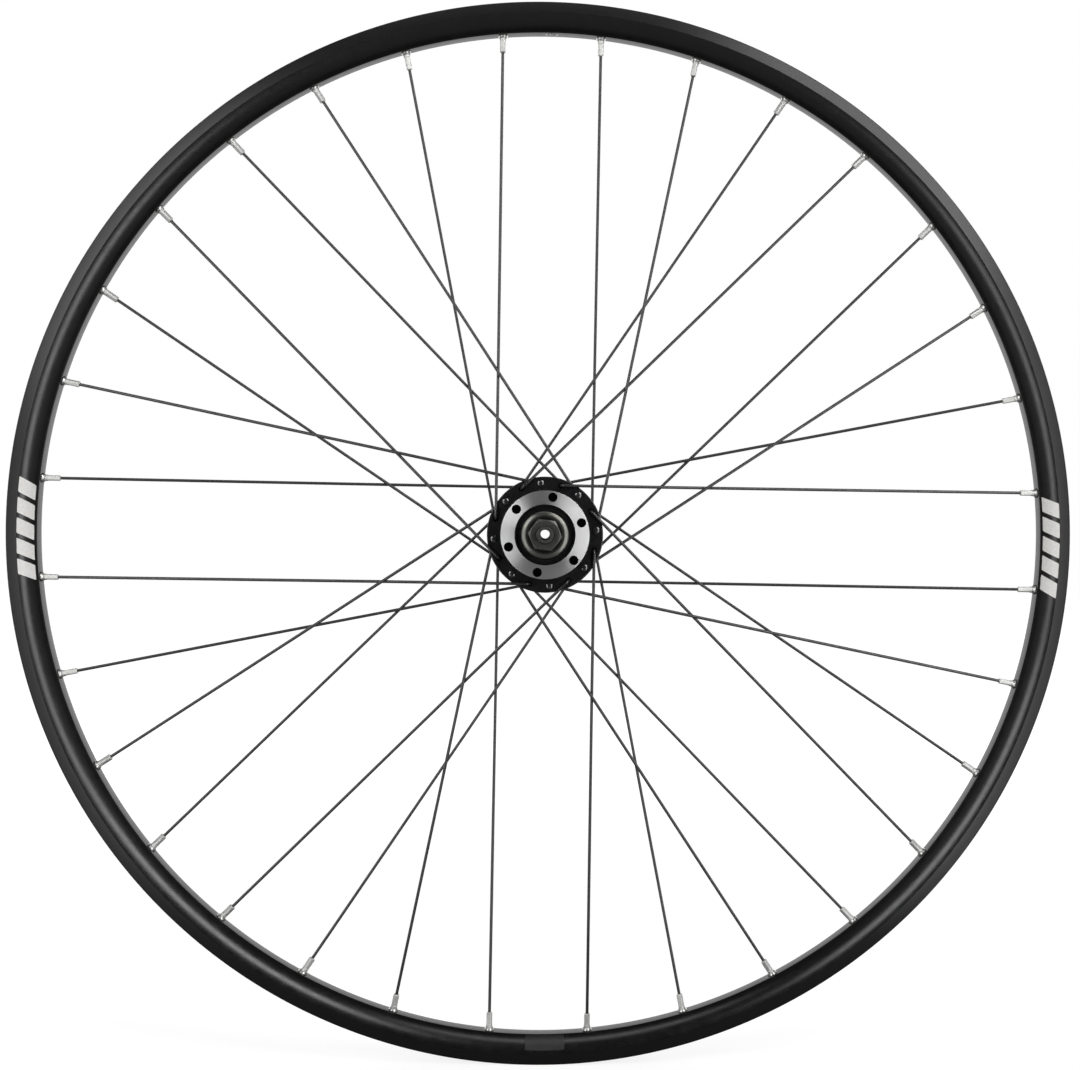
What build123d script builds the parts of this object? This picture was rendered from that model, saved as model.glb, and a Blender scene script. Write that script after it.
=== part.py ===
from build123d import *

import os
from math import cos, radians, sin

# A rear bicycle wheel without its tyre: a hollow rim, laced to a disc brake hub.
# The origin is the wheel's centre and the spin axis is Y. +Z points to the valve hole,
# and the brake disc side faces -Y. All sizes are millimetres and degrees.

# Rim: a double-walled hoop of extruded aluminium.
bead_seat_diameter = 622.0
edge_height = 6.0
edge_thickness = 2.4
edge_undercut = 0.8
rim_width = 25.6
rim_depth = 16.0
bed_width = 9.0
bed_wall = 1.6
band_height = 6.3
band_step = 0.4
flank_bulge = 0.55
flank_wall = 1.5
seat_width = 3.0
well_depth = 3.0
well_slope = 2.0
well_wall = 1.2
valve_hole_diameter = 6.5
access_hole_width = 8.0

# Spokes: round wire, drawn with few sides, and laced over three crossings.
spoke_count = 32
crossings = 3
wire_diameter = 1.8
wire_sides = 6
wire_gap = 0.05
head_diameter = 4.0
head_thickness = 0.9
inner_standoff = 0.15
outer_standoff = 1.5

# Nipples: square barrels with a head that hooks behind the rim's inner wall.
nipple_width = 3.2
nipple_showing = 10.4
nipple_head_width = 5.2
nipple_head_height = 1.6
nipple_seat_gap = 0.7
nipple_bore = 1.92
nipple_clearance = 0.5
spoke_end_inset = 0.4

# Eyelets: collars that line the nipple holes in the rim's inner wall.
eyelet_width = 6.0
eyelet_thickness = 1.5
eyelet_wall = 0.4
eyelet_gap = 0.05

# Hub, set out from the distance over its locknuts.
over_locknuts = 135.0
flange_circle = 60.0
flange_edge = 3.5
flange_thickness = 3.2
left_flange_offset = 33.4
right_flange_offset = 22.4
flange_hole_diameter = 2.8
neck_diameter = 44.0
barrel_diameter = 34.0
core_diameter = 20.0
disc_face_inset = 15.3
disc_mount_diameter = 51.4
disc_mount_depth = 8.0
disc_recess_diameter = 34.5
disc_recess_depth = 4.2
disc_bolt_circle = 44.0
disc_bolt_count = 6
disc_bolt_diameter = 5.0
disc_bolt_depth = 6.5
disc_bolt_turn = 10.9
ratchet_housing_diameter = 39.0
ratchet_housing_reach = 5.0
ratchet_recess_diameter = 33.0
ratchet_recess_depth = 7.0

# Bearings: sealed cartridges in the hub. The freehub runs on the axle's journal.
bearing_bore = 12.0
hub_bearing_diameter = 28.0
hub_bearing_width = 8.0
running_clearance = 0.02
side_clearance = 0.3

# Axle: hollow, with a thick journal between two threaded ends.
axle_end_reach = 5.5
axle_end_diameter = 9.6
axle_thread_diameter = 10.0
skewer_hole_diameter = 5.8
locknut_across_flats = 17.0
locknut_thickness = 4.5
locknut_turn = 6.5
thread_clearance = 0.02
end_cap_inset = 0.65
end_cap_shoulder = 2.4
spacer_diameter = 15.0

# Freehub: the splined drum that carries the sprockets.
freehub_gap = 0.3
freehub_flange_diameter = 36.0
freehub_flange_thickness = 2.0
freehub_nose_diameter = 26.4
freehub_nose_gap = 0.6
freehub_end_inset = 3.5
spline_diameter = 34.6
spline_count = 9
spline_groove_depth = 1.4
spline_groove_width = 6.0
lockring_thread_diameter = 30.6
lockring_thread_depth = 8.0

# Radii of the rim, measured from the spin axis.
bead_seat_radius = bead_seat_diameter / 2
outer_radius = bead_seat_radius + edge_height
bed_radius = outer_radius - rim_depth
band_radius = outer_radius - band_height
well_radius = bead_seat_radius - well_depth
cavity_outer_radius = well_radius - well_wall
cavity_inner_radius = bed_radius + bed_wall
cavity_middle_radius = (cavity_inner_radius + cavity_outer_radius) / 2

# Places along the axle.
left_lock_face = -over_locknuts / 2
right_lock_face = over_locknuts / 2
axle_left_end = left_lock_face - axle_end_reach
axle_right_end = right_lock_face + axle_end_reach
left_nut_back = left_lock_face + locknut_thickness
right_nut_back = right_lock_face - locknut_thickness
disc_face = left_lock_face + disc_face_inset
left_bearing_face = disc_face + disc_recess_depth
left_seat_shoulder = left_bearing_face + hub_bearing_width
left_flange = -left_flange_offset
right_flange = right_flange_offset
housing_end = right_flange + flange_thickness / 2 + ratchet_housing_reach
right_bearing_face = housing_end - ratchet_recess_depth
right_seat_shoulder = right_bearing_face - hub_bearing_width
freehub_nose_end = right_bearing_face + freehub_nose_gap
freehub_flange_face = housing_end + freehub_gap
spline_start = freehub_flange_face + freehub_flange_thickness
freehub_end = right_lock_face - freehub_end_inset
lockring_shoulder = freehub_end - lockring_thread_depth
journal_left_end = left_bearing_face - side_clearance
journal_right_end = lockring_shoulder + side_clearance

journal_radius = bearing_bore / 2
bearing_bore_radius = journal_radius + running_clearance
axle_radius = axle_thread_diameter / 2
nut_bore_radius = axle_radius + thread_clearance
wire_radius = wire_diameter / 2
flange_radius = flange_circle / 2 + flange_edge
end_cap_radius = hub_bearing_diameter / 2 - end_cap_inset
eyelet_bore = nipple_width + 2 * nipple_clearance
eyelet_barrel = eyelet_bore + 2 * eyelet_wall

os.makedirs("parts", exist_ok=True)


def on_wheel(radius, turn, across):
    """A point at a radius, turned clockwise from the valve hole as the disc side shows it."""
    angle = radians(turn)
    return Vector(radius * sin(angle), across, radius * cos(angle))


# Lacing. The spokes come in fours: right and left flange with their heads outside, leaning one
# way, then right and left flange with their heads inside, leaning the other way.
hole_pitch = 360 / spoke_count
lean_angle = crossings * 2 * hole_pitch
hole_radius = flange_circle / 2
lean_ratio = sin(radians(lean_angle))
crossing_radius = (
    hole_radius * bed_radius * lean_ratio
    / (hole_radius * sin(radians(lean_angle - hole_pitch)) + bed_radius * sin(radians(hole_pitch)))
)


def spoke_route(number):
    """The centre line of one spoke: head, elbow, last crossing and rim hole."""
    turn = (number + 0.5) * hole_pitch
    flange, outward = (left_flange, -1) if number % 2 else (right_flange, 1)
    lean, side = (1, -outward) if number % 4 < 2 else (-1, outward)
    standoff = inner_standoff if lean > 0 else outer_standoff
    hub_turn = turn + lean * lean_angle
    head_at = flange - side * (flange_thickness / 2 + wire_gap)
    elbow_at = flange + side * (flange_thickness / 2 + standoff + wire_radius)

    hole = on_wheel(hole_radius, hub_turn, 0)
    rim_hole = on_wheel(bed_radius, turn, 0)
    crossing = on_wheel(crossing_radius, turn + lean * hole_pitch, 0)
    share = (crossing - hole).length / (rim_hole - hole).length
    # The spoke with its head inside the flange ducks under its partner at the last crossing.
    crossing_at = flange * (1 - share) + lean * outward * (wire_radius + wire_gap)

    head = on_wheel(hole_radius, hub_turn, head_at)
    elbow = on_wheel(hole_radius, hub_turn, elbow_at)
    crossing = on_wheel(crossing_radius, turn + lean * hole_pitch, crossing_at)
    return head, elbow, crossing, rim_hole


routes = [spoke_route(number) for number in range(spoke_count)]
rim_turns = [(number + 0.5) * hole_pitch for number in range(spoke_count)]
nipple_planes = [
    Plane(origin=rim_hole, x_dir=(0, 1, 0), z_dir=rim_hole - crossing)
    for head, elbow, crossing, rim_hole in routes
]
drill_planes = [
    Plane(x_dir=(0, 1, 0), origin=(0, 0, 0), z_dir=on_wheel(1, turn, 0)) for turn in rim_turns
]
nipple_top = bed_wall + nipple_seat_gap + nipple_head_height

# Rim: one section, turned about the axle. Both walls are pierced at each nipple, and the holes
# have four sides to keep the faces few.
with BuildPart() as rim:
    with BuildSketch(Plane.YZ) as rim_section:
        half = rim_width / 2
        with BuildLine() as rim_outline:
            flank_top = (half - band_step, band_radius - band_step)
            bed_corner = (bed_width / 2, bed_radius)
            flank_middle = (
                (bed_corner[0] + flank_top[0]) / 2 + flank_bulge,
                (bed_corner[1] + flank_top[1]) / 2 - flank_bulge,
            )
            Polyline((0, bed_radius), bed_corner, flank_middle, flank_top)
            seat_end = (half - edge_thickness + edge_undercut, bead_seat_radius)
            well_top = (seat_end[0] - seat_width, bead_seat_radius)
            Polyline(
                flank_top,
                (half, band_radius),
                (half, outer_radius),
                (half - edge_thickness, outer_radius),
                seat_end,
                well_top,
                (well_top[0] - well_slope, well_radius),
                (0, well_radius),
            )
            mirror(about=Plane.YZ)
        make_face()
        with BuildLine() as cavity_outline:
            cavity_top = (well_top[0] - well_wall, cavity_outer_radius)
            cavity_foot = (bed_width / 2 - flank_wall, cavity_inner_radius)
            Polyline((0, cavity_inner_radius), cavity_foot, cavity_top, (0, cavity_outer_radius))
            mirror(about=Plane.YZ)
        make_face(mode=Mode.SUBTRACT)
    revolve(axis=Axis.Y)
    with BuildSketch(*[plane.offset(bed_radius - bed_wall) for plane in drill_planes]):
        Rectangle(eyelet_barrel + 2 * eyelet_gap, eyelet_barrel + 2 * eyelet_gap)
    extrude(amount=bed_wall * 3, mode=Mode.SUBTRACT)
    with BuildSketch(*[plane.offset(cavity_middle_radius) for plane in drill_planes]):
        Rectangle(access_hole_width, access_hole_width)
    extrude(amount=rim_depth, mode=Mode.SUBTRACT)
    with BuildSketch(Plane.XY.offset(bed_radius - bed_wall)):
        Circle(valve_hole_diameter / 2)
    extrude(amount=rim_depth, mode=Mode.SUBTRACT)

rim.part.label = "rim"
export_step(rim.part, "parts/rim.step")

# Eyelets: square like the holes they line, with a rim that shows round each nipple.
eyelet_planes = [plane.offset(bed_radius - eyelet_gap) for plane in drill_planes]
with BuildPart() as eyelets:
    with BuildSketch(*eyelet_planes):
        Rectangle(eyelet_barrel, eyelet_barrel)
        Rectangle(eyelet_bore, eyelet_bore, mode=Mode.SUBTRACT)
    extrude(amount=bed_wall + eyelet_gap)
    with BuildSketch(*eyelet_planes):
        Rectangle(eyelet_width, eyelet_width)
        Rectangle(eyelet_bore, eyelet_bore, mode=Mode.SUBTRACT)
    extrude(amount=-eyelet_thickness)

eyelets.part.label = "eyelets"
export_step(eyelets.part, "parts/eyelets.step")

# Spokes: each wire runs from its head through the flange, round its elbow and into its nipple.
for number, (head, elbow, crossing, rim_hole) in enumerate(routes):
    wire_end = rim_hole + (rim_hole - crossing).normalized() * (nipple_top - spoke_end_inset)
    head_plane = Plane(origin=head, z_dir=elbow - head)
    with BuildPart() as spoke:
        with BuildLine() as wire:
            Polyline(head, elbow, crossing, wire_end)
        with BuildSketch(head_plane):
            RegularPolygon(wire_radius, wire_sides)
        sweep(path=wire.wires()[0], transition=Transition.RIGHT)
        with BuildSketch(head_plane):
            RegularPolygon(head_diameter / 2, wire_sides)
        extrude(amount=-head_thickness)
    spoke.part.label = f"spoke_{number + 1:02}"
    export_step(spoke.part, f"parts/spoke_{number + 1:02}.step")

# Nipples: square barrels in line with their spokes, one group of separate solids.
with BuildPart() as nipples:
    with BuildSketch(*[plane.offset(-nipple_showing) for plane in nipple_planes]):
        Rectangle(nipple_width, nipple_width)
        Rectangle(nipple_bore, nipple_bore, mode=Mode.SUBTRACT)
    extrude(amount=nipple_showing + nipple_top)
    with BuildSketch(*[plane.offset(nipple_top) for plane in nipple_planes]):
        Rectangle(nipple_head_width, nipple_head_width)
        Rectangle(nipple_bore, nipple_bore, mode=Mode.SUBTRACT)
    extrude(amount=-nipple_head_height)

nipples.part.label = "nipples"
export_step(nipples.part, "parts/nipples.step")

# Hub shell: two spoke flanges, the disc mount on the left and the ratchet housing on the right.
with BuildPart() as hub_shell:
    with BuildSketch(Plane.YZ) as shell_section:
        with BuildLine():
            Polyline(
                (disc_face, disc_recess_diameter / 2),
                (disc_face, disc_mount_diameter / 2),
                (disc_face + disc_mount_depth, disc_mount_diameter / 2),
                (disc_face + disc_mount_depth, neck_diameter / 2),
                (left_flange - flange_thickness / 2, neck_diameter / 2),
                (left_flange - flange_thickness / 2, flange_radius),
                (left_flange + flange_thickness / 2, flange_radius),
                (left_flange + flange_thickness / 2, barrel_diameter / 2),
                (right_flange - flange_thickness / 2, barrel_diameter / 2),
                (right_flange - flange_thickness / 2, flange_radius),
                (right_flange + flange_thickness / 2, flange_radius),
                (right_flange + flange_thickness / 2, ratchet_housing_diameter / 2),
                (housing_end, ratchet_housing_diameter / 2),
                (housing_end, ratchet_recess_diameter / 2),
                (right_bearing_face, ratchet_recess_diameter / 2),
                (right_bearing_face, hub_bearing_diameter / 2),
                (right_seat_shoulder, hub_bearing_diameter / 2),
                (right_seat_shoulder, core_diameter / 2),
                (left_seat_shoulder, core_diameter / 2),
                (left_seat_shoulder, hub_bearing_diameter / 2),
                (left_bearing_face, hub_bearing_diameter / 2),
                (left_bearing_face, disc_recess_diameter / 2),
                close=True,
            )
        make_face()
    revolve(axis=Axis.Y)
    hole_planes = [
        Plane(origin=elbow, z_dir=head - elbow) for head, elbow, crossing, rim_hole in routes
    ]
    with BuildSketch(*hole_planes):
        RegularPolygon(flange_hole_diameter / 2, wire_sides)
    extrude(amount=flange_thickness + outer_standoff + wire_diameter, mode=Mode.SUBTRACT)
    with BuildSketch(Plane.XZ.offset(-disc_face)):
        with PolarLocations(disc_bolt_circle / 2, disc_bolt_count, start_angle=90 - disc_bolt_turn):
            Circle(disc_bolt_diameter / 2)
    extrude(amount=-disc_bolt_depth, mode=Mode.SUBTRACT)

hub_shell.part.label = "hub_shell"
export_step(hub_shell.part, "parts/hub_shell.step")

# Bearings: each sealed cartridge is one ring, pressed into its seat.
for name, face in {"left_bearing": left_bearing_face, "right_bearing": right_seat_shoulder}.items():
    with BuildPart() as bearing:
        with BuildSketch(Plane.XZ.offset(-face)):
            Circle(hub_bearing_diameter / 2)
            Circle(bearing_bore_radius, mode=Mode.SUBTRACT)
        extrude(amount=-hub_bearing_width)
    bearing.part.label = name
    export_step(bearing.part, f"parts/{name}.step")

# Axle: a hollow shaft with a journal for the bearings, and at each end a thread and a thinner
# plain tip for the frame.
with BuildPart() as axle:
    with BuildSketch(Plane.YZ) as axle_section:
        with BuildLine():
            Polyline(
                (axle_left_end, skewer_hole_diameter / 2),
                (axle_left_end, axle_end_diameter / 2),
                (left_lock_face, axle_end_diameter / 2),
                (left_lock_face, axle_radius),
                (journal_left_end, axle_radius),
                (journal_left_end, journal_radius),
                (journal_right_end, journal_radius),
                (journal_right_end, axle_radius),
                (right_lock_face, axle_radius),
                (right_lock_face, axle_end_diameter / 2),
                (axle_right_end, axle_end_diameter / 2),
                (axle_right_end, skewer_hole_diameter / 2),
                close=True,
            )
        make_face()
    revolve(axis=Axis.Y)

axle.part.label = "axle"
export_step(axle.part, "parts/axle.step")

# Right spacer: a sleeve between the axle's journal and its locknut, inside the freehub's mouth.
with BuildPart() as right_spacer:
    with BuildSketch(Plane.XZ.offset(-journal_right_end)):
        Circle(spacer_diameter / 2)
        Circle(nut_bore_radius, mode=Mode.SUBTRACT)
    extrude(amount=journal_right_end - right_nut_back)

right_spacer.part.label = "right_spacer"
export_step(right_spacer.part, "parts/right_spacer.step")

# Locknuts: hexagons whose outer faces meet the frame.
for name, start in {"left_locknut": left_lock_face, "right_locknut": right_nut_back}.items():
    with BuildPart() as locknut:
        with BuildSketch(Plane.XZ.offset(-start)):
            RegularPolygon(locknut_across_flats / 2, 6, major_radius=False, rotation=-locknut_turn)
            Circle(nut_bore_radius, mode=Mode.SUBTRACT)
        extrude(amount=-locknut_thickness)
    locknut.part.label = name
    export_step(locknut.part, f"parts/{name}.step")

# Left end cap: a turned collar between the journal and the locknut that shields the bearing.
with BuildPart() as left_end_cap:
    with BuildSketch(Plane.YZ) as cap_section:
        with BuildLine():
            Polyline(
                (left_nut_back, nut_bore_radius),
                (left_nut_back, end_cap_radius - end_cap_shoulder),
                (left_nut_back + end_cap_shoulder, end_cap_radius),
                (journal_left_end, end_cap_radius),
                (journal_left_end, nut_bore_radius),
                close=True,
            )
        make_face()
    revolve(axis=Axis.Y)

left_end_cap.part.label = "left_end_cap"
export_step(left_end_cap.part, "parts/left_end_cap.step")

# Freehub body: a splined drum with a nose that turns inside the ratchet housing.
with BuildPart() as freehub_body:
    with BuildSketch(Plane.YZ) as drum_section:
        with BuildLine():
            Polyline(
                (freehub_nose_end, bearing_bore_radius),
                (freehub_nose_end, freehub_nose_diameter / 2),
                (freehub_flange_face, freehub_nose_diameter / 2),
                (freehub_flange_face, freehub_flange_diameter / 2),
                (spline_start, freehub_flange_diameter / 2),
                (spline_start, spline_diameter / 2),
                (freehub_end, spline_diameter / 2),
                (freehub_end, lockring_thread_diameter / 2),
                (lockring_shoulder, lockring_thread_diameter / 2),
                (lockring_shoulder, bearing_bore_radius),
                close=True,
            )
        make_face()
    revolve(axis=Axis.Y)
    with BuildSketch(Plane.XZ.offset(-spline_start)):
        with PolarLocations(spline_diameter / 2, spline_count):
            Rectangle(spline_groove_depth * 2, spline_groove_width)
    extrude(amount=spline_start - freehub_end, mode=Mode.SUBTRACT)

freehub_body.part.label = "freehub_body"
export_step(freehub_body.part, "parts/freehub_body.step")
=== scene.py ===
from math import atan2, ceil, cos, pi, radians, sin, tan

import bmesh
import bpy
from mathutils import Matrix, Vector


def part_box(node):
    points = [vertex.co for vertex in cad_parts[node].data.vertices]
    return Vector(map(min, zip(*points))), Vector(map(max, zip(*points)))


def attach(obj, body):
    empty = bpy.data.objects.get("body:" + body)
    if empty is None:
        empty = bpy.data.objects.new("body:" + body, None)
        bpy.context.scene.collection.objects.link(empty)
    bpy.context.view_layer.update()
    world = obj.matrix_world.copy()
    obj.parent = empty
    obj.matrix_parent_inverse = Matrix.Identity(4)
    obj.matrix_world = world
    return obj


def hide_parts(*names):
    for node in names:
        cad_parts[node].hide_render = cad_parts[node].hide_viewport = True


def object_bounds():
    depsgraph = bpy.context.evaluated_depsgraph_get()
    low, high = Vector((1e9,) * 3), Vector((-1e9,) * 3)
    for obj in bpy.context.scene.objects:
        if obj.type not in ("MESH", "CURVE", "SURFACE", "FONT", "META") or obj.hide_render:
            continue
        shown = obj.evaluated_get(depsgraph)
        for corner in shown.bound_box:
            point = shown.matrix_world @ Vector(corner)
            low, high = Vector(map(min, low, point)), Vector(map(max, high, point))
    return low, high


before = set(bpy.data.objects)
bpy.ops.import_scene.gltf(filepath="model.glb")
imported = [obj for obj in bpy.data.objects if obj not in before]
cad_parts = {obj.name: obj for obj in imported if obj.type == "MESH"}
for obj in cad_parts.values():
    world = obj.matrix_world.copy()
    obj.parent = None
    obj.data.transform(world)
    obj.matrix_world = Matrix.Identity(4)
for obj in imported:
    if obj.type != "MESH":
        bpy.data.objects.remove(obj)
cad_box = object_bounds()

# Hub shell: one piece of aluminium, turned on a lathe, drilled for the spokes and the disc bolts,
# and dyed gloss black. The face for the brake disc is cut bare afterwards, so the lathe's fine
# rings show on it.
mm = 0.001
disc_face = -52.2
disc_recess_radius = 17.25
disc_mount_radius = 25.7
disc_mount_end = -44.2
disc_inner_margin = 0.4
disc_outer_margin = 0.6
bare_depth = 0.3
neck_radius = 22.0
flange_radius = 33.9
flange_thickness = 3.2
left_flange = -33.4
right_flange = 22.4
barrel_radius = 17.0
housing_radius = 19.5
housing_end = 29.0
ratchet_recess_radius = 16.5
bearing_radius = 14.0
bearing_width = 8.0
left_bearing_face = -48.0
right_bearing_face = 22.0
core_radius = 10.0
spoke_circle_radius = 30.0
spoke_hole_radius = 1.4
spoke_hole_chamfer = 0.3
holes_per_flange = 16
left_hole_turn = 16.875
right_hole_turn = 5.625
bolt_count = 6
bolt_circle_radius = 22.0
bolt_hole_radius = 2.5
bolt_chamfer = 0.2
bolt_hole_depth = 6.5
bolt_turn = 10.9
drill_run = 1
pole_radius = 0.01


def rounded(corners):
    """An outline from corners that each give place along the axle, radius and size of fillet."""
    outline = []
    for number, (along, radius, fillet) in enumerate(corners):
        corner = Vector((along, radius))
        if not fillet:
            outline.append(corner)
            continue
        back = (Vector(corners[number - 1][:2]) - corner).normalized()
        ahead = (Vector(corners[(number + 1) % len(corners)][:2]) - corner).normalized()
        half_angle = back.angle(ahead) / 2
        centre = corner + (back + ahead).normalized() * fillet / sin(half_angle)
        start = corner + back * fillet / tan(half_angle) - centre
        end = corner + ahead * fillet / tan(half_angle) - centre
        first = atan2(start.y, start.x)
        sweep = (atan2(end.y, end.x) - first + pi) % (2 * pi) - pi
        steps = max(2, ceil(abs(sweep) / radians(15)))
        for step in range(steps + 1):
            angle = first + sweep * step / steps
            outline.append(centre + Vector((cos(angle), sin(angle))) * fillet)
    return outline


def piece_from(name, mesh):
    """An object at the origin that shows a mesh."""
    piece = bpy.data.objects.new(name, mesh)
    bpy.context.scene.collection.objects.link(piece)
    return piece


def turned(name, outline, steps=192):
    """A ring turned round the axle, with a map that runs along the outline and round the axle."""
    form = bmesh.new()
    turning = form.loops.layers.uv.new("turning")
    rings = []
    for step in range(steps):
        angle = 2 * pi * step / steps
        rings.append([
            form.verts.new((mm * radius * sin(angle), mm * along, mm * radius * cos(angle)))
            for along, radius in outline
        ])
    count = len(outline)
    travel = [0]
    for point in range(count):
        travel.append(travel[-1] + (outline[(point + 1) % count] - outline[point]).length)
    for step in range(steps):
        here, there = rings[step], rings[(step + 1) % steps]
        for point in range(count):
            after = (point + 1) % count
            face = form.faces.new((here[point], here[after], there[after], there[point]))
            places = ((point, step), (point + 1, step), (point + 1, step + 1), (point, step + 1))
            for loop, (place, turn) in zip(face.loops, places):
                loop[turning].uv = (travel[place] / travel[-1], turn / steps)
    bmesh.ops.recalc_face_normals(form, faces=form.faces)
    mesh = bpy.data.meshes.new(name)
    form.to_mesh(mesh)
    form.free()
    return piece_from(name, mesh)


def cut(piece, tool, operation="DIFFERENCE"):
    """Takes a tool's form out of a piece, or keeps what both share, and uses the tool up."""
    step = piece.modifiers.new("cut", "BOOLEAN")
    step.operation = operation
    step.object = tool
    step.solver = "EXACT"
    now = piece.evaluated_get(bpy.context.evaluated_depsgraph_get())
    mesh = bpy.data.meshes.new_from_object(now)
    piece.modifiers.clear()
    piece.data = mesh
    bpy.data.objects.remove(tool)


def smooth(piece, crease=35):
    """Shades a piece smooth, with a sharp edge wherever it turns more than the crease."""
    piece.data.shade_smooth()
    piece.data.set_sharp_from_angle(angle=radians(crease))


def node(tree, kind, sockets={}, **settings):
    """A new node in a tree, with its settings made and its sockets set or linked."""
    made = tree.nodes.new(kind)
    for name, value in settings.items():
        setattr(made, name, value)
    for name, value in sockets.items():
        if isinstance(value, bpy.types.NodeSocket):
            tree.links.new(value, made.inputs[name])
        else:
            made.inputs[name].default_value = value
    return made


def math(tree, operation, first, second=0.0):
    """The outcome of one sum in a tree."""
    return node(tree, "ShaderNodeMath", {0: first, 1: second}, operation=operation).outputs[0]


def new_tree(name, **inputs):
    """A tree of geometry nodes with named inputs, and the sockets that they come in by."""
    tree = bpy.data.node_groups.new(name, "GeometryNodeTree")
    tree.interface.new_socket("Geometry", in_out="OUTPUT", socket_type="NodeSocketGeometry")
    tree.interface.new_socket("Geometry", in_out="INPUT", socket_type="NodeSocketGeometry")
    for title, kind in inputs.items():
        tree.interface.new_socket(title, in_out="INPUT", socket_type="NodeSocket" + kind)
    return tree, tree.nodes.new("NodeGroupInput").outputs


def close_tree(tree, geometry, finish):
    """Ends a tree: everything made real, and given its finish."""
    real = node(tree, "GeometryNodeRealizeInstances", {"Geometry": geometry})
    dressed = node(tree, "GeometryNodeSetMaterial", {"Geometry": real.outputs[0], "Material": finish})
    node(tree, "NodeGroupOutput", {"Geometry": dressed.outputs[0]})


def grown(name, base, tree, **inputs):
    """What a tree makes of a base object, as a piece with a plain mesh. The base is used up."""
    step = base.modifiers.new(tree.name, "NODES")
    step.node_group = tree
    for socket in tree.interface.items_tree:
        if socket.in_out == "INPUT" and socket.name in inputs:
            step[socket.identifier] = inputs[socket.name]
    now = base.evaluated_get(bpy.context.evaluated_depsgraph_get())
    mesh = bpy.data.meshes.new_from_object(now)
    base.modifiers.clear()
    bpy.data.objects.remove(base)
    return piece_from(name, mesh)


repeat, given = new_tree("repeat_round_the_axle", Count="Int", Start="Float", Finish="Material")
places = node(repeat, "GeometryNodePoints", {"Count": given["Count"]})
pitch = math(repeat, "DIVIDE", 2 * pi, given["Count"])
turn = math(repeat, "MULTIPLY", node(repeat, "GeometryNodeInputIndex").outputs[0], pitch)
turn = math(repeat, "ADD", turn, given["Start"])
spin = node(repeat, "ShaderNodeCombineXYZ", {"Y": turn})
copies = node(repeat, "GeometryNodeInstanceOnPoints", {
    "Points": places.outputs[0], "Instance": given["Geometry"], "Rotation": spin.outputs[0],
})
close_tree(repeat, copies.outputs[0], given["Finish"])


def drill(profile, to_radius, across=False):
    """A drill's form from (depth, radius) points, set at the valve's turn, along or across the axle."""
    outline = [Vector((depth, max(radius, pole_radius))) for depth, radius in profile]
    tip = turned("drill", outline, 32)
    if across:
        tip.data.transform(Matrix.Rotation(radians(90), 4, "X"))
    tip.data.transform(Matrix.Translation((0, 0, mm * to_radius)))
    return tip


half_flange = flange_thickness / 2
hub_shell = turned("hub_body", rounded([
    (disc_face, disc_recess_radius, 0.25),
    (disc_face, disc_recess_radius + disc_inner_margin, 0),
    (disc_face, disc_mount_radius - disc_outer_margin, 0),
    (disc_face, disc_mount_radius, 0.4),
    (disc_mount_end, disc_mount_radius, 0.5),
    (disc_mount_end, neck_radius, 0.8),
    (left_flange - half_flange, neck_radius, 2.2),
    (left_flange - half_flange, flange_radius, 0.6),
    (left_flange + half_flange, flange_radius, 0.6),
    (left_flange + half_flange, barrel_radius, 3.5),
    (right_flange - half_flange, barrel_radius, 3.5),
    (right_flange - half_flange, flange_radius, 0.6),
    (right_flange + half_flange, flange_radius, 0.6),
    (right_flange + half_flange, housing_radius, 1.2),
    (housing_end, housing_radius, 0.5),
    (housing_end, ratchet_recess_radius, 0.3),
    (right_bearing_face, ratchet_recess_radius, 0.3),
    (right_bearing_face, bearing_radius, 0.3),
    (right_bearing_face - bearing_width, bearing_radius, 0),
    (right_bearing_face - bearing_width, core_radius, 0.3),
    (left_bearing_face + bearing_width, core_radius, 0.3),
    (left_bearing_face + bearing_width, bearing_radius, 0),
    (left_bearing_face, bearing_radius, 0.3),
    (left_bearing_face, disc_recess_radius, 0.5),
]), steps=256)

for flange, hole_turn in ((left_flange, left_hole_turn), (right_flange, right_hole_turn)):
    near = flange - half_flange
    far = flange + half_flange
    spoke_drill = drill([
        (near - drill_run, spoke_hole_radius + spoke_hole_chamfer + drill_run),
        (near + spoke_hole_chamfer, spoke_hole_radius),
        (far - spoke_hole_chamfer, spoke_hole_radius),
        (far + drill_run, spoke_hole_radius + spoke_hole_chamfer + drill_run),
        (far + drill_run, 0),
        (near - drill_run, 0),
    ], spoke_circle_radius)
    spoke_drills = grown(
        "drills", spoke_drill, repeat, Count=holes_per_flange, Start=radians(hole_turn)
    )
    cut(hub_shell, spoke_drills)

bolt_drill = drill([
    (disc_face - drill_run, bolt_hole_radius + bolt_chamfer + drill_run),
    (disc_face + bolt_chamfer, bolt_hole_radius),
    (disc_face + bolt_hole_depth, bolt_hole_radius),
    (disc_face + bolt_hole_depth, 0),
    (disc_face - drill_run, 0),
], bolt_circle_radius)
cut(hub_shell, grown("drills", bolt_drill, repeat, Count=bolt_count, Start=radians(bolt_turn)))
smooth(hub_shell)


def finish(name, colour, metallic, roughness, **sockets):
    """A finish with one shader, and its tree."""
    made = bpy.data.materials.new(name)
    made.use_nodes = True
    shader = made.node_tree.nodes["Principled BSDF"]
    shader.inputs["Base Color"].default_value = (*colour, 1)
    shader.inputs["Metallic"].default_value = metallic
    shader.inputs["Roughness"].default_value = roughness
    for title, value in sockets.items():
        shader.inputs[title.replace("_", " ")].default_value = value
    return made, made.node_tree, shader


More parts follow.
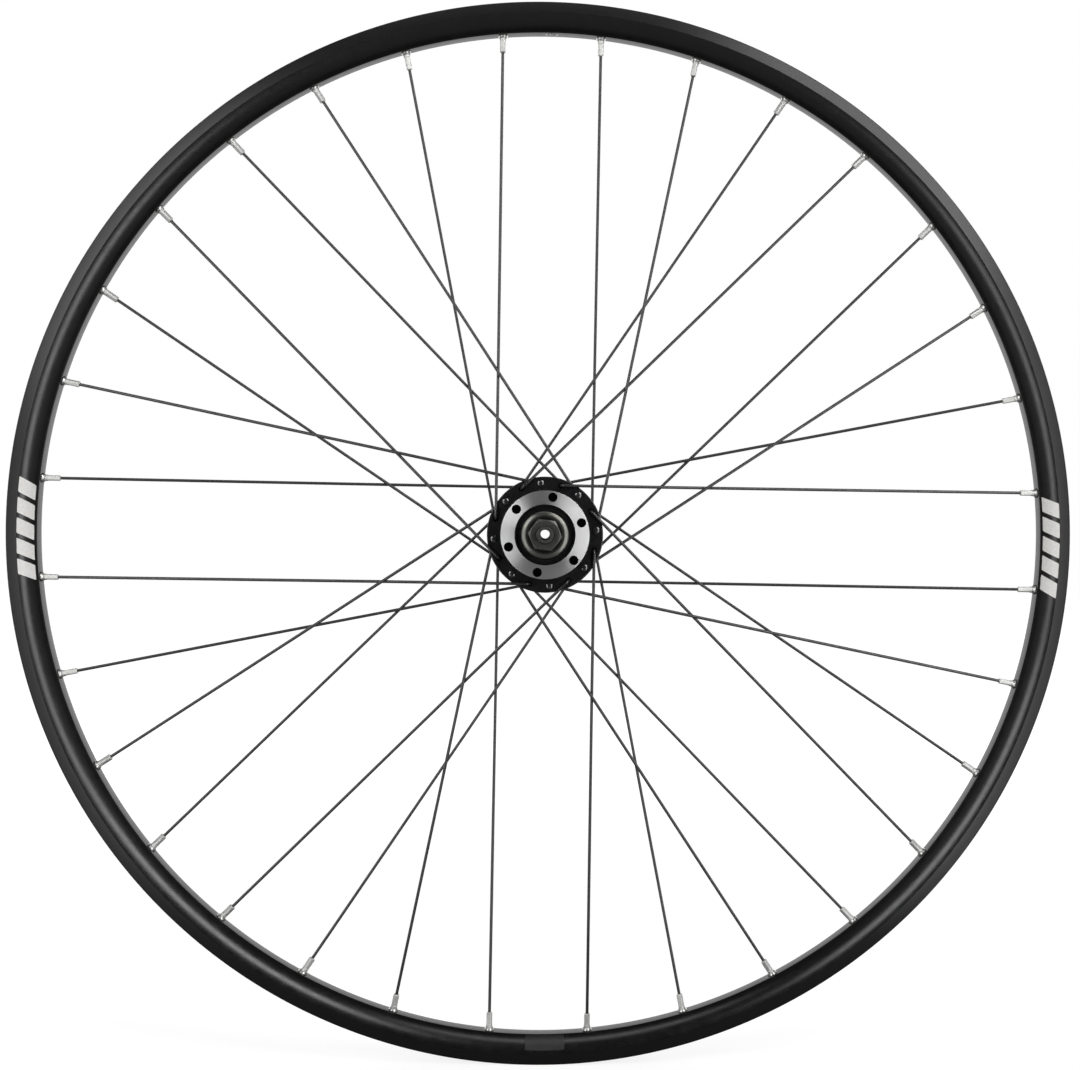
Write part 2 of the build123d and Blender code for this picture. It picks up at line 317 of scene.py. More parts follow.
def drift(tree, grain, low, high, detail=3.0, vector=None):
    """A number that wanders softly between low and high, in patches of the size of the grain."""
    if vector is None:
        vector = node(tree, "ShaderNodeTexCoord").outputs["Object"]
    noise = node(tree, "ShaderNodeTexNoise", {"Vector": vector, "Scale": 1 / grain, "Detail": detail})
    spread = node(tree, "ShaderNodeMapRange", {
        "Value": noise.outputs[0], "From Min": 0.3, "From Max": 0.7, "To Min": low, "To Max": high,
    })
    return spread.outputs[0]


def shades(tree, shader, share, dark, light):
    """Lets the shader's colour run from dark to light by a share."""
    mix = node(tree, "ShaderNodeMix", {0: share, 6: (*dark, 1), 7: (*light, 1)}, data_type="RGBA")
    tree.links.new(mix.outputs[2], shader.inputs["Base Color"])


def roughens(tree, shader, roughness):
    """Lets the shader's roughness follow a number."""
    tree.links.new(roughness, shader.inputs["Roughness"])


def relief(tree, shader, height, depth):
    """Raises a shader's surface by a height from 0 to 1, over a depth in metres."""
    bump = node(tree, "ShaderNodeBump", {"Height": height, "Distance": depth, "Strength": 1.0})
    tree.links.new(bump.outputs[0], shader.inputs["Normal"])


def from_axle(tree):
    """The distance of a point from the axle, in metres."""
    place = node(tree, "ShaderNodeTexCoord").outputs["Object"]
    flat = node(tree, "ShaderNodeVectorMath", {0: place, 1: (1, 0, 1)}, operation="MULTIPLY")
    return node(tree, "ShaderNodeVectorMath", {0: flat.outputs[0]}, operation="LENGTH").outputs["Value"]


def ring_place(tree):
    """A place that changes only with the distance from the axle, so that noise makes fine rings."""
    return node(tree, "ShaderNodeCombineXYZ", {"X": from_axle(tree)}).outputs[0]


def spread_across(tree, shader):
    """Spreads the shine along the outline, across the marks that run round the axle."""
    along_outline = node(tree, "ShaderNodeTangent", direction_type="UV_MAP", uv_map="turning")
    tree.links.new(along_outline.outputs[0], shader.inputs["Tangent"])


def grooved(tree, shader, lean):
    """Fine grooves round the axle, which spread the shine, and whose faces lean outwards."""
    spread_across(tree, shader)
    relief(tree, shader, math(tree, "MULTIPLY", from_axle(tree), -tan(radians(lean))), 1.0)


gloss_black, tree, shader = finish("gloss_black_dye", (0.008, 0.008, 0.009), 0.0, 0.2)
shades(tree, shader, drift(tree, 6 * mm, 0, 1), (0.006, 0.006, 0.007), (0.012, 0.012, 0.012))
roughens(tree, shader, drift(tree, 2.5 * mm, 0.16, 0.26))

bare_ring, tree, shader = finish("bare_turned_aluminium", (0.7, 0.7, 0.7), 1.0, 0.37, Anisotropic=0.81)
lathe_rings = ring_place(tree)
lathe_share = drift(tree, 0.25 * mm, 0, 1, vector=lathe_rings)
shades(tree, shader, lathe_share, (0.64, 0.64, 0.645), (0.76, 0.76, 0.76))
roughens(tree, shader, drift(tree, 0.4 * mm, 0.34, 0.4, vector=lathe_rings))
grooved(tree, shader, 8)

hub_shell.data.materials.append(gloss_black)
hub_shell.data.materials.append(bare_ring)
for face in hub_shell.data.polygons:
    near_disc = face.center.y < mm * (disc_face + bare_depth)
    face.material_index = int(near_disc and face.normal.y < -0.97)
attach(hub_shell, "wheel")
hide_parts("hub_shell")

# Bearings: two sealed cartridges, pressed into the hub's seats. Steel rings outside and inside, coloured
# near black as painted shade in the hub's recess, with a black rubber seal set back between them on each
# face.
bearing_bore_radius = 6.02
inner_race_radius = 8.2
outer_race_radius = 11.8
seal_inset = 0.45
seal_round = 0.1
bearing_slack = 0.01

# Painted shade: the bearing steel is coloured near black, so that the recess round the cap stays dark.
steel_painted_shade, tree, shader = finish("bearing_steel_painted_shade", (0.05, 0.05, 0.05), 1.0, 0.4)
roughens(tree, shader, drift(tree, 1.5 * mm, 0.34, 0.48))
shades(tree, shader, drift(tree, 3 * mm, 0, 1), (0.04, 0.04, 0.04), (0.065, 0.065, 0.065))

seal_rubber, tree, shader = finish("seal_rubber", (0.02, 0.02, 0.02), 0.0, 0.6)
shades(tree, shader, drift(tree, 0.8 * mm, 0, 1), (0.014, 0.014, 0.014), (0.032, 0.031, 0.03))
relief(tree, shader, drift(tree, 0.3 * mm, 0, 1), 0.02 * mm)

for name, start in (
    ("left_bearing", left_bearing_face),
    ("right_bearing", right_bearing_face - bearing_width),
):
    end = start + bearing_width
    bearing = turned(name + "_cartridge", rounded([
        (start, bearing_bore_radius, 0.3),
        (start, inner_race_radius, 0.15),
        (start + seal_inset, inner_race_radius, seal_round),
        (start + seal_inset, outer_race_radius, seal_round),
        (start, outer_race_radius, 0.15),
        (start, bearing_radius - bearing_slack, 0.4),
        (end, bearing_radius - bearing_slack, 0.4),
        (end, outer_race_radius, 0.15),
        (end - seal_inset, outer_race_radius, seal_round),
        (end - seal_inset, inner_race_radius, seal_round),
        (end, inner_race_radius, 0.15),
        (end, bearing_bore_radius, 0.3),
    ]), steps=96)
    smooth(bearing)
    bearing.data.materials.append(steel_painted_shade)
    bearing.data.materials.append(seal_rubber)
    for face in bearing.data.polygons:
        reach = Vector((face.center.x, face.center.z)).length / mm
        on_seal = inner_race_radius + seal_round < reach < outer_race_radius - seal_round
        face.material_index = int(on_seal)
    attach(bearing, "wheel")
    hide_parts(name)

# Axle: a hollow steel shaft, turned, with a thick journal that the bearings and the freehub run
# on. The locknuts sit on its ends, and its plain tips sit in the frame.
axle_low, axle_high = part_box("axle")
axle_left_end = axle_low.y / mm
axle_right_end = axle_high.y / mm
axle_tip_radius = 4.8
axle_thread_radius = 5.0
journal_radius = 6.0
skewer_hole_radius = 2.9
left_lock_face = -67.5
right_lock_face = 67.5
journal_left_end = -48.3
journal_right_end = 56.3

axle = turned("axle_shaft", rounded([
    (axle_left_end, skewer_hole_radius, 0.2),
    (axle_left_end, axle_tip_radius, 0.3),
    (left_lock_face, axle_tip_radius, 0),
    (left_lock_face, axle_thread_radius, 0.1),
    (journal_left_end, axle_thread_radius, 0),
    (journal_left_end, journal_radius, 0.3),
    (journal_right_end, journal_radius, 0.3),
    (journal_right_end, axle_thread_radius, 0),
    (right_lock_face, axle_thread_radius, 0.1),
    (right_lock_face, axle_tip_radius, 0),
    (axle_right_end, axle_tip_radius, 0.3),
    (axle_right_end, skewer_hole_radius, 0.2),
]), steps=96)
smooth(axle)

dark_steel, tree, shader = finish("oiled_dark_steel", (0.07, 0.07, 0.065), 1.0, 0.5)
shades(tree, shader, drift(tree, 1.2 * mm, 0, 1), (0.055, 0.055, 0.051), (0.085, 0.085, 0.079))
roughens(tree, shader, drift(tree, 0.7 * mm, 0.42, 0.58))
axle.data.materials.append(dark_steel)
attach(axle, "axle")
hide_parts("axle")

# Left end cap: a dark collar turned from bar, screwed on between the journal and the locknut.
# It shields the bearing. Its bevelled shoulder catches the light, and its face beside the locknut is
# painted darker, as painted shade at the nut's foot.
left_nut_back = -63.0
cap_radius = 13.35
cap_bevel_radius = 11.3
cap_bevel_depth = 0.8
# Width of the painted shade on the cap's face, inwards from the bevel.
painted_shade_width = 1.6
nut_bore_radius = 5.02

left_end_cap = turned("left_end_cap_collar", rounded([
    (left_nut_back, nut_bore_radius, 0.2),
    (left_nut_back, cap_bevel_radius, 2.5),
    (left_nut_back + cap_bevel_depth, cap_radius, 0.6),
    (journal_left_end, cap_radius, 0.3),
    (journal_left_end, nut_bore_radius, 0.2),
]), steps=160)
smooth(left_end_cap)

dark_dye, tree, shader = finish("dark_olive_dye", (0.14, 0.14, 0.13), 1.0, 0.34, Anisotropic=0.4)
# Painted shade: the cap's colour runs darker towards the locknut's foot.
painted_nut_shade = node(tree, "ShaderNodeMapRange", {
    "Value": from_axle(tree),
    "From Min": mm * (cap_bevel_radius - painted_shade_width),
    "From Max": mm * cap_bevel_radius,
    "To Min": 0.0,
    "To Max": drift(tree, 0.5 * mm, 0.65, 1, vector=ring_place(tree)),
})
shades(tree, shader, painted_nut_shade.outputs[0], (0.04, 0.04, 0.037), (0.17, 0.17, 0.155))
roughens(tree, shader, drift(tree, 0.6 * mm, 0.3, 0.38))
spread_across(tree, shader)
left_end_cap.data.materials.append(dark_dye)
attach(left_end_cap, "axle")
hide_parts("left_end_cap")

# Right spacer: a plain steel sleeve inside the freehub's mouth, held between the journal and the
# right locknut.
right_nut_back = 63.0
spacer_radius = 7.5

right_spacer = turned("right_spacer_sleeve", rounded([
    (journal_right_end, nut_bore_radius, 0.15),
    (journal_right_end, spacer_radius, 0.3),
    (right_nut_back, spacer_radius, 0.3),
    (right_nut_back, nut_bore_radius, 0.15),
]), steps=96)
smooth(right_spacer)
right_spacer.data.materials.append(dark_steel)
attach(right_spacer, "axle")
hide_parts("right_spacer")

# Locknuts: hexagon nuts cut from steel bar, with the corners of the outer face turned off to a
# cone. They clamp the cap and the spacer on the axle, and their faces meet the frame.
nut_across_flats = 17.0
nut_turn = 6.5
nut_chamfer_radius = 8.3
nut_chamfer_depth = 1.0
nut_back_radius = 8.7
nut_back_chamfer = 0.3
nut_corner_radius = nut_across_flats / 2 / cos(radians(30))
nut_blank_radius = nut_corner_radius + 0.2
hexagon_length = 20

nut_steel, tree, shader = finish("dark_plated_steel", (0.105, 0.105, 0.097), 1.0, 0.42)
shades(tree, shader, drift(tree, 1.5 * mm, 0, 1), (0.09, 0.09, 0.083), (0.12, 0.12, 0.111))
roughens(tree, shader, drift(tree, 0.8 * mm, 0.37, 0.47))

for name, outer, inner in (
    ("left_locknut", left_lock_face, left_nut_back),
    ("right_locknut", right_lock_face, right_nut_back),
):
    inwards = 1 if inner > outer else -1
    blank = turned(name + "_hexagon", rounded([
        (outer, nut_bore_radius, 0.35),
        (outer, nut_chamfer_radius, 0.25),
        (outer + inwards * nut_chamfer_depth, nut_blank_radius, 0),
        (inner - inwards * nut_back_chamfer, nut_blank_radius, 0),
        (inner, nut_back_radius, 0),
        (inner, nut_bore_radius, 0.2),
    ]), steps=96)
    bar = bmesh.new()
    bmesh.ops.create_cone(
        bar, cap_ends=True, segments=6, depth=mm * hexagon_length,
        radius1=mm * nut_corner_radius, radius2=mm * nut_corner_radius,
    )
    hexagon = bpy.data.meshes.new("hexagon_bar")
    bar.to_mesh(hexagon)
    bar.free()
    stand = Matrix.Rotation(radians(nut_turn + 90), 4, "Y") @ Matrix.Rotation(radians(90), 4, "X")
    hexagon.transform(Matrix.Translation((0, mm * outer, 0)) @ stand)
    cut(blank, piece_from("hexagon_bar", hexagon), "INTERSECT")
    smooth(blank, 20)
    blank.data.materials.clear()
    blank.data.materials.append(nut_steel)
    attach(blank, "axle")
    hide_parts(name)

# Freehub body: the steel drum that the sprockets slide on, with nine splines milled along it and
# a thread in its mouth for the lockring. Its nose turns inside the hub's ratchet housing.
freehub_nose_end = 22.6
freehub_nose_radius = 13.2
freehub_flange_face = 29.3
freehub_flange_radius = 18.0
spline_start = 31.3
spline_radius = 17.3
freehub_end = 64.0
mouth_radius = 15.3
mouth_floor = 56.0
mouth_chamfer = 0.5
mouth_thread_start = 0.8
mouth_thread_ridges = 6
mouth_thread_pitch = 1.0
mouth_thread_depth = 0.45
spline_count = 9
spline_groove_depth = 1.4
spline_groove_width = 6.0
spline_groove_run = 4.0

threads = []
for ridge in range(mouth_thread_ridges):
    start = freehub_end - mouth_thread_start - ridge * mouth_thread_pitch
    threads.append((start, mouth_radius, 0))
    threads.append((start - mouth_thread_pitch / 2, mouth_radius + mouth_thread_depth, 0))
freehub = turned("freehub_drum", rounded([
    (freehub_nose_end, bearing_bore_radius, 0.2),
    (freehub_nose_end, freehub_nose_radius, 0.5),
    (freehub_flange_face, freehub_nose_radius, 0.3),
    (freehub_flange_face, freehub_flange_radius, 0.3),
    (spline_start, freehub_flange_radius, 0.3),
    (spline_start, spline_radius, 0.2),
    (freehub_end, spline_radius, 0.5),
    (freehub_end, mouth_radius + mouth_chamfer, 0.2),
    *threads,
    (mouth_floor, mouth_radius, 0.3),
    (mouth_floor, bearing_bore_radius, 0.3),
]), steps=180)


def block(name, middle, lengths):
    """A plain block from its middle and its three lengths."""
    form = bmesh.new()
    bmesh.ops.create_cube(form, size=1)
    mesh = bpy.data.meshes.new(name)
    form.to_mesh(mesh)
    form.free()
    sized = Matrix.Diagonal([mm * length for length in lengths] + [1])
    mesh.transform(Matrix.Translation([mm * place for place in middle]) @ sized)
    return piece_from(name, mesh)


groove_end = freehub_end + spline_groove_run
groove = block(
    "spline_cutter",
    (0, (spline_start + groove_end) / 2, spline_radius),
    (spline_groove_width, groove_end - spline_start, 2 * spline_groove_depth),
)
cut(freehub, grown("spline_cutters", groove, repeat, Count=spline_count, Start=radians(90)))
smooth(freehub, 30)

machined_steel, tree, shader = finish(
    "machined_freehub_steel", (0.45, 0.45, 0.46), 1.0, 0.34, Anisotropic=0.3
)
shades(tree, shader, drift(tree, 2.5 * mm, 0, 1), (0.36, 0.36, 0.37), (0.52, 0.52, 0.53))
roughens(tree, shader, drift(tree, 1.2 * mm, 0.28, 0.44))
freehub.data.materials.clear()
freehub.data.materials.append(machined_steel)
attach(freehub, "freehub")
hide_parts("freehub_body")

# Rim: a double-walled aluminium extrusion, rolled to a hoop, joined and dyed satin black. Each
# flank bulges from the narrow spoke bed out to a flat band, which is brushed along the hoop, and
# hooked edges hold the tyre.
rim_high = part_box("rim")[1]
outer_radius = round(rim_high.z / mm, 2)
half_width = round(rim_high.y / mm, 2)
bed_radius = 301.0
bed_half = 4.5
bed_edge = 1.6
flank_middle = (9.4, 305.2)
band_radius = 310.7
edge_thickness = 2.4
hook_height = 1.3
seat_half = 11.2
seat_radius = 311.0
seat_width = 3.0
well_radius = 308.0
well_slope = 2.0
bed_wall = 1.6
well_wall = 1.2
flank_wall = 1.5
nipple_hole_radius = 2.55
access_hole_radius = 4.0
valve_hole_radius = 3.25
valve_chamfer = 0.4
valve_margin = 0.35
band_margin = 0.05
rim_drill_start = -4
nipple_drill_end = 10
valve_drill_end = 12
spoke_count = 32
hole_pitch = 360 / spoke_count


def bend(first, middle, last, steps):
    """Points on the circle through three points, from the first to the last."""
    a, b, c = Vector(first), Vector(middle), Vector(last)
    size = 2 * (a.x * (b.y - c.y) + b.x * (c.y - a.y) + c.x * (a.y - b.y))
    across = (a.dot(a) * (b.y - c.y) + b.dot(b) * (c.y - a.y) + c.dot(c) * (a.y - b.y)) / size
    up = (a.dot(a) * (c.x - b.x) + b.dot(b) * (a.x - c.x) + c.dot(c) * (b.x - a.x)) / size
    centre = Vector((across, up))
    start = atan2(a.y - up, a.x - across)
    sweep = (atan2(c.y - up, c.x - across) - start + pi) % (2 * pi) - pi
    reach = (a - centre).length
    angles = [start + sweep * step / steps for step in range(steps + 1)]
    return [(across + reach * cos(angle), up + reach * sin(angle)) for angle in angles]


flank = bend((bed_half, bed_radius), flank_middle, (half_width, band_radius), 16)
half_section = [
    (bed_half, bed_radius, bed_edge),
    *[(along, radius, 0) for along, radius in flank[2:]],
    (half_width, outer_radius, 0.5),
    (half_width - edge_thickness, outer_radius, 0.7),
    (half_width - edge_thickness, outer_radius - hook_height, 0.4),
    (seat_half, outer_radius - 2 * hook_height, 0.6),
    (seat_half, seat_radius, 0.7),
    (seat_half - seat_width, seat_radius, 0.5),
    (seat_half - seat_width - well_slope, well_radius, 1.2),
]
section = half_section + [(-along, radius, fillet) for along, radius, fillet in reversed(half_section)]
rim = turned("rim_hoop", rounded(section), steps=12 * spoke_count)

cavity_half = [
    (bed_half - flank_wall, bed_radius + bed_wall, 0.5),
    (seat_half - seat_width - well_wall, well_radius - well_wall, 0.5),
]
cavity = cavity_half + [(-along, radius, fillet) for along, radius, fillet in reversed(cavity_half)]
cut(rim, turned("cavity", rounded(cavity), steps=12 * spoke_count))

cavity_middle = (bed_radius + bed_wall + well_radius - well_wall) / 2
nipple_drill = drill([
    (rim_drill_start, nipple_hole_radius),
    (cavity_middle - bed_radius, nipple_hole_radius),
    (cavity_middle - bed_radius, access_hole_radius),
    (nipple_drill_end, access_hole_radius),
    (nipple_drill_end, 0),
    (rim_drill_start, 0),
], bed_radius, across=True)
cut(rim, grown("drills", nipple_drill, repeat, Count=spoke_count, Start=radians(hole_pitch / 2)))
valve_drill = drill([
    (rim_drill_start, valve_hole_radius + valve_chamfer - rim_drill_start),
    (valve_chamfer, valve_hole_radius),
    (valve_drill_end, valve_hole_radius),
    (valve_drill_end, 0),
    (rim_drill_start, 0),
], bed_radius, across=True)
cut(rim, valve_drill)
smooth(rim, 20)

satin_black, tree, shader = finish("satin_black_dye", (0.0045, 0.0045, 0.0045), 0.0, 0.23, IOR=1.44)
shades(tree, shader, drift(tree, 9 * mm, 0, 1), (0.0038, 0.0038, 0.0038), (0.0052, 0.0051, 0.005))
roughens(tree, shader, drift(tree, 5 * mm, 0.2, 0.26))
relief(tree, shader, drift(tree, 0.22 * mm, 0, 1, detail=1.0), 0.004 * mm)

brushed_black, tree, shader = finish(
    "brushed_black_dye", (0.004, 0.004, 0.004), 0.0, 0.32, IOR=1.45, Anisotropic=0.59
)
brush_lines = ring_place(tree)
brush_share = drift(tree, 0.3 * mm, 0, 1, vector=brush_lines)
shades(tree, shader, brush_share, (0.003, 0.003, 0.003), (0.005, 0.0049, 0.0048))
roughens(tree, shader, drift(tree, 0.5 * mm, 0.29, 0.35, vector=brush_lines))
grooved(tree, shader, 12)

drilled_bare, tree, shader = finish("bare_drilled_aluminium", (0.8, 0.8, 0.81), 1.0, 0.6)
shades(tree, shader, drift(tree, 0.6 * mm, 0, 1), (0.7, 0.7, 0.71), (0.88, 0.88, 0.89))
roughens(tree, shader, drift(tree, 0.5 * mm, 0.5, 0.65))

for dress in (satin_black, drilled_bare, brushed_black):
    rim.data.materials.append(dress)
for face in rim.data.polygons:
    from_valve = Vector((face.center.x, face.center.y)).length
    beside_valve = from_valve < mm * (valve_hole_radius + valve_margin)
    on_band = abs(face.center.y) > mm * (half_width - band_margin)
    face.material_index = 2 * on_band
    if beside_valve and face.center.z > 0 and abs(face.normal.z) < 0.9:
        face.material_index = 1
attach(rim, "wheel")
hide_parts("rim")

# Eyelets: bright plated collars, pressed into the rim's inner wall at each spoke, with a rolled
# lip that the nipple turns against.
eyelet_radius = 3.0
eyelet_bore_radius = 2.1
eyelet_barrel_radius = 2.5
eyelet_height = 1.5
eyelet_wall = 0.3
eyelet_lip = 0.3
eyelet_gap = 0.04

collar = turned("eyelet_collar", rounded([
    (-eyelet_height, eyelet_bore_radius, 0.1),
    (-eyelet_height, eyelet_bore_radius + eyelet_wall, 0.15),
    (-eyelet_lip, eyelet_radius, 0.15),
    (-eyelet_gap, eyelet_radius, 0.08),
    (-eyelet_gap, eyelet_barrel_radius, 0),
    (bed_wall, eyelet_barrel_radius, 0),
    (bed_wall, eyelet_bore_radius, 0),
]), steps=32)
collar.data.transform(
    Matrix.Translation((0, 0, mm * bed_radius)) @ Matrix.Rotation(radians(90), 4, "X")
)
smooth(collar, 40)

bright_plate, tree, shader = finish("bright_nickel_plate", (0.45, 0.45, 0.44), 1.0, 0.36)
shades(tree, shader, drift(tree, 1.4 * mm, 0, 1), (0.38, 0.38, 0.37), (0.52, 0.52, 0.51))
roughens(tree, shader, drift(tree, 0.9 * mm, 0.3, 0.42))
eyelets = grown(
    "eyelet_collars", collar, repeat,
    Count=spoke_count, Start=radians(hole_pitch / 2), Finish=bright_plate,
)
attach(eyelets, "wheel")
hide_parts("eyelets")

# Spokes: 32 stainless wires, dyed black, each with a forged head and an elbow at its flange. Half
# lean forwards and half backwards, and each crosses three others of its flange and is laced
# behind the last of them, which locks the wheel's tension in.
crossings = 3
wire_radius = 0.9
wire_sides = 14
wire_gap = 0.05
elbow_radius = 2.3
head_radius = 2.0
head_thickness = 0.9
head_dome_radius = 3.7
head_foot = 0.1
head_foot_radius = 1.24
head_edge = 0.27
head_polish = 0.13
inner_standoff = 0.15
outer_standoff = 1.5
wire_end = 3.5
lean_angle = crossings * 2 * hole_pitch
lean_ratio = sin(radians(lean_angle))
crossing_radius = spoke_circle_radius * bed_radius * lean_ratio / (
    spoke_circle_radius * sin(radians(lean_angle - hole_pitch))
    + bed_radius * sin(radians(hole_pitch))
)


def on_wheel(radius, turn, across):
    """A point at a radius, turned clockwise from the valve hole as the disc side shows it."""
    return Vector((radius * sin(radians(turn)), across, radius * cos(radians(turn)))) * mm


def spoke_route(number):
    """The centre line of one spoke: head, elbow, last crossing and rim hole."""
    turn = (number + 0.5) * hole_pitch
    flange, outward = (left_flange, -1) if number % 2 else (right_flange, 1)
    lean, side = (1, -outward) if number % 4 < 2 else (-1, outward)
    standoff = inner_standoff if lean > 0 else outer_standoff
    hub_turn = turn + lean * lean_angle
    head_at = flange - side * (half_flange + wire_gap)
    elbow_at = flange + side * (half_flange + standoff + wire_radius)
    hole = on_wheel(spoke_circle_radius, hub_turn, 0)
    rim_hole = on_wheel(bed_radius, turn, 0)
    crossing = on_wheel(crossing_radius, turn + lean * hole_pitch, 0)
    share = (crossing - hole).length / (rim_hole - hole).length
    crossing.y = mm * (flange * (1 - share) + lean * outward * (wire_radius + wire_gap))
    head = on_wheel(spoke_circle_radius, hub_turn, head_at)
    elbow = on_wheel(spoke_circle_radius, hub_turn, elbow_at)
    return head, elbow, crossing, rim_hole


routes = [spoke_route(number) for number in range(spoke_count)]
lines = bpy.data.curves.new("spoke_lines", "CURVE")
lines.dimensions = "3D"
for head, elbow, crossing, rim_hole in routes:
    end = rim_hole + (rim_hole - crossing).normalized() * mm * wire_end
    line = lines.splines.new("POLY")
    line.points.add(3)
    for point, place in zip(line.points, (head, elbow, crossing, end)):
        point.co = (*place, 1)

dome = [
    (reach**2 / (2 * head_dome_radius) - head_thickness, reach, 0)
    for reach in (head_radius, 1.7, 1.35, 1.0, 0.6, pole_radius)
]
head_form = turned("spoke_head", rounded([
    (head_foot, pole_radius, 0),
    (head_foot, head_foot_radius, 0.1),
    (-head_edge, head_radius, 0.1),
    *dome,
]), steps=24)
smooth(head_form, 40)

lace, given = new_tree(
    "laced_wires", Wire_Radius="Float", Wire_Sides="Int", Elbow_Radius="Float", Head="Object",
    Finish="Material",
)
eased = node(lace, "GeometryNodeFilletCurve", {
    "Curve": given["Geometry"], "Count": 7, "Radius": given["Elbow_Radius"], "Limit Radius": True,
}, mode="POLY")
wire_round = node(lace, "GeometryNodeCurvePrimitiveCircle", {
    "Resolution": given["Wire_Sides"], "Radius": given["Wire_Radius"],
})
wire = node(lace, "GeometryNodeCurveToMesh", {
    "Curve": eased.outputs[0], "Profile Curve": wire_round.outputs[0], "Fill Caps": True,
})
first_point = node(lace, "GeometryNodeCurveEndpointSelection", {"Start Size": 1, "End Size": 0})
along_wire = node(lace, "FunctionNodeAlignRotationToVector", {
    "Vector": node(lace, "GeometryNodeInputTangent").outputs[0],
}, axis="Y")
heads = node(lace, "GeometryNodeInstanceOnPoints", {
    "Points": given["Geometry"],
    "Selection": first_point.outputs[0],
    "Instance": node(lace, "GeometryNodeObjectInfo", {"Object": given["Head"]}).outputs["Geometry"],
    "Rotation": along_wire.outputs[0],
})
both = node(lace, "GeometryNodeJoinGeometry", {"Geometry": wire.outputs[0]})
lace.links.new(heads.outputs[0], both.inputs[0])
close_tree(lace, both.outputs[0], given["Finish"])

wire_black, tree, shader = finish("black_stainless_wire", (0.02, 0.02, 0.02), 0.0, 0.38, IOR=1.65)
shades(tree, shader, drift(tree, 30 * mm, 0, 1), (0.016, 0.016, 0.016), (0.024, 0.024, 0.024))
forged_polish = node(tree, "ShaderNodeMapRange", {
    "Value": from_axle(tree),
    "From Min": mm * (spoke_circle_radius + head_radius),
    "From Max": mm * (spoke_circle_radius + 3 * head_radius),
    "To Min": head_polish,
    "To Max": drift(tree, 20 * mm, 0.34, 0.42),
})
roughens(tree, shader, forged_polish.outputs[0])
spokes = grown(
    "spoke_wires", piece_from("spoke_lines", lines), lace,
    Wire_Radius=mm * wire_radius, Wire_Sides=wire_sides, Elbow_Radius=mm * elbow_radius,
    Head=head_form, Finish=wire_black,
)
bpy.data.objects.remove(head_form)
smooth(spokes, 50)
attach(spokes, "wheel")
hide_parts(*[f"spoke_{number + 1:02}" for number in range(spoke_count)])

# Nipples: the bright plated brass nuts that pull the spokes tight. Milled square for the key, round
# where they pass the eyelet, with a slotted head inside the rim, each in line with its spoke.
nipple_flat = 1.6
nipple_radius = 1.9
nipple_bore_radius = 0.96
nipple_tip_radius = 1.4
nipple_chamfer = 0.35
nipple_showing = 10.4
nipple_square_end = 3.4
nipple_head_radius = 2.6
nipple_head_start = 2.3
nipple_head_slope = 0.4
nipple_head_edge = 0.3
nipple_top = 3.9
nipple_steps = 40
no_flat = 9
slot_width = 1.0
slot_depth = 0.8
most_key_turn = 9
key_turn_seed = 7

stations = [
    (-nipple_showing, nipple_bore_radius, no_flat),
    (-nipple_showing, nipple_tip_radius, no_flat),
    (-nipple_showing + nipple_chamfer, nipple_radius, nipple_flat),
    (-nipple_square_end, nipple_radius, nipple_flat),
    (-nipple_square_end + nipple_chamfer, nipple_radius, nipple_radius),
    (nipple_head_start - nipple_head_slope, nipple_radius, no_flat),
    (nipple_head_start, nipple_head_radius, no_flat),
    (nipple_top - nipple_head_edge, nipple_head_radius, no_flat),
    (nipple_top, nipple_head_radius - nipple_head_slope, no_flat),
    (nipple_top, nipple_bore_radius, no_flat),
]
nipple_outline = [Vector((along, radius)) for along, radius, flat in stations]
nipple_form = turned("nipple", nipple_outline, nipple_steps)
for spot, (along, radius, flat) in zip(nipple_form.data.vertices, stations * nipple_steps):
    widest = max(abs(spot.co.x), abs(spot.co.z)) / mm
    if widest > flat:
        spot.co.x *= flat / widest
        spot.co.z *= flat / widest
slot_lengths = (slot_width, 2 * slot_depth, 3 * nipple_head_radius)
cut(nipple_form, block("slot_cutter", (0, nipple_top, 0), slot_lengths))
smooth(nipple_form, 25)

seats = bpy.data.meshes.new("nipple_seats")
seats.from_pydata([rim_hole for head, elbow, crossing, rim_hole in routes], [], [])
along = seats.attributes.new("along_spoke", "FLOAT_VECTOR", "POINT")
for spot, (head, elbow, crossing, rim_hole) in zip(along.data, routes):
    spot.vector = (rim_hole - crossing).normalized()

screw_on, given = new_tree(
    "nipple_on_each_spoke", Nipple="Object", Most_Turn="Float", Seed="Int", Finish="Material"
)
along = node(screw_on, "GeometryNodeInputNamedAttribute", {
    "Name": "along_spoke",
}, data_type="FLOAT_VECTOR")
in_line = node(screw_on, "FunctionNodeAlignRotationToVector", {"Vector": along.outputs[0]}, axis="Y")
chance = node(screw_on, "FunctionNodeRandomValue", {
    2: math(screw_on, "MULTIPLY", given["Most_Turn"], -1.0),
    3: given["Most_Turn"],
    "Seed": given["Seed"],
}, data_type="FLOAT")
key_turn = node(screw_on, "ShaderNodeCombineXYZ", {"Y": chance.outputs[1]})
screwed = node(screw_on, "FunctionNodeRotateRotation", {
    "Rotation": in_line.outputs[0], "Rotate By": key_turn.outputs[0],
}, rotation_space="LOCAL")
nuts = node(screw_on, "GeometryNodeInstanceOnPoints", {
    "Points": given["Geometry"],
    "Instance": node(screw_on, "GeometryNodeObjectInfo", {"Object": given["Nipple"]}).outputs["Geometry"],
    "Rotation": screwed.outputs[0],
})
close_tree(screw_on, nuts.outputs[0], given["Finish"])

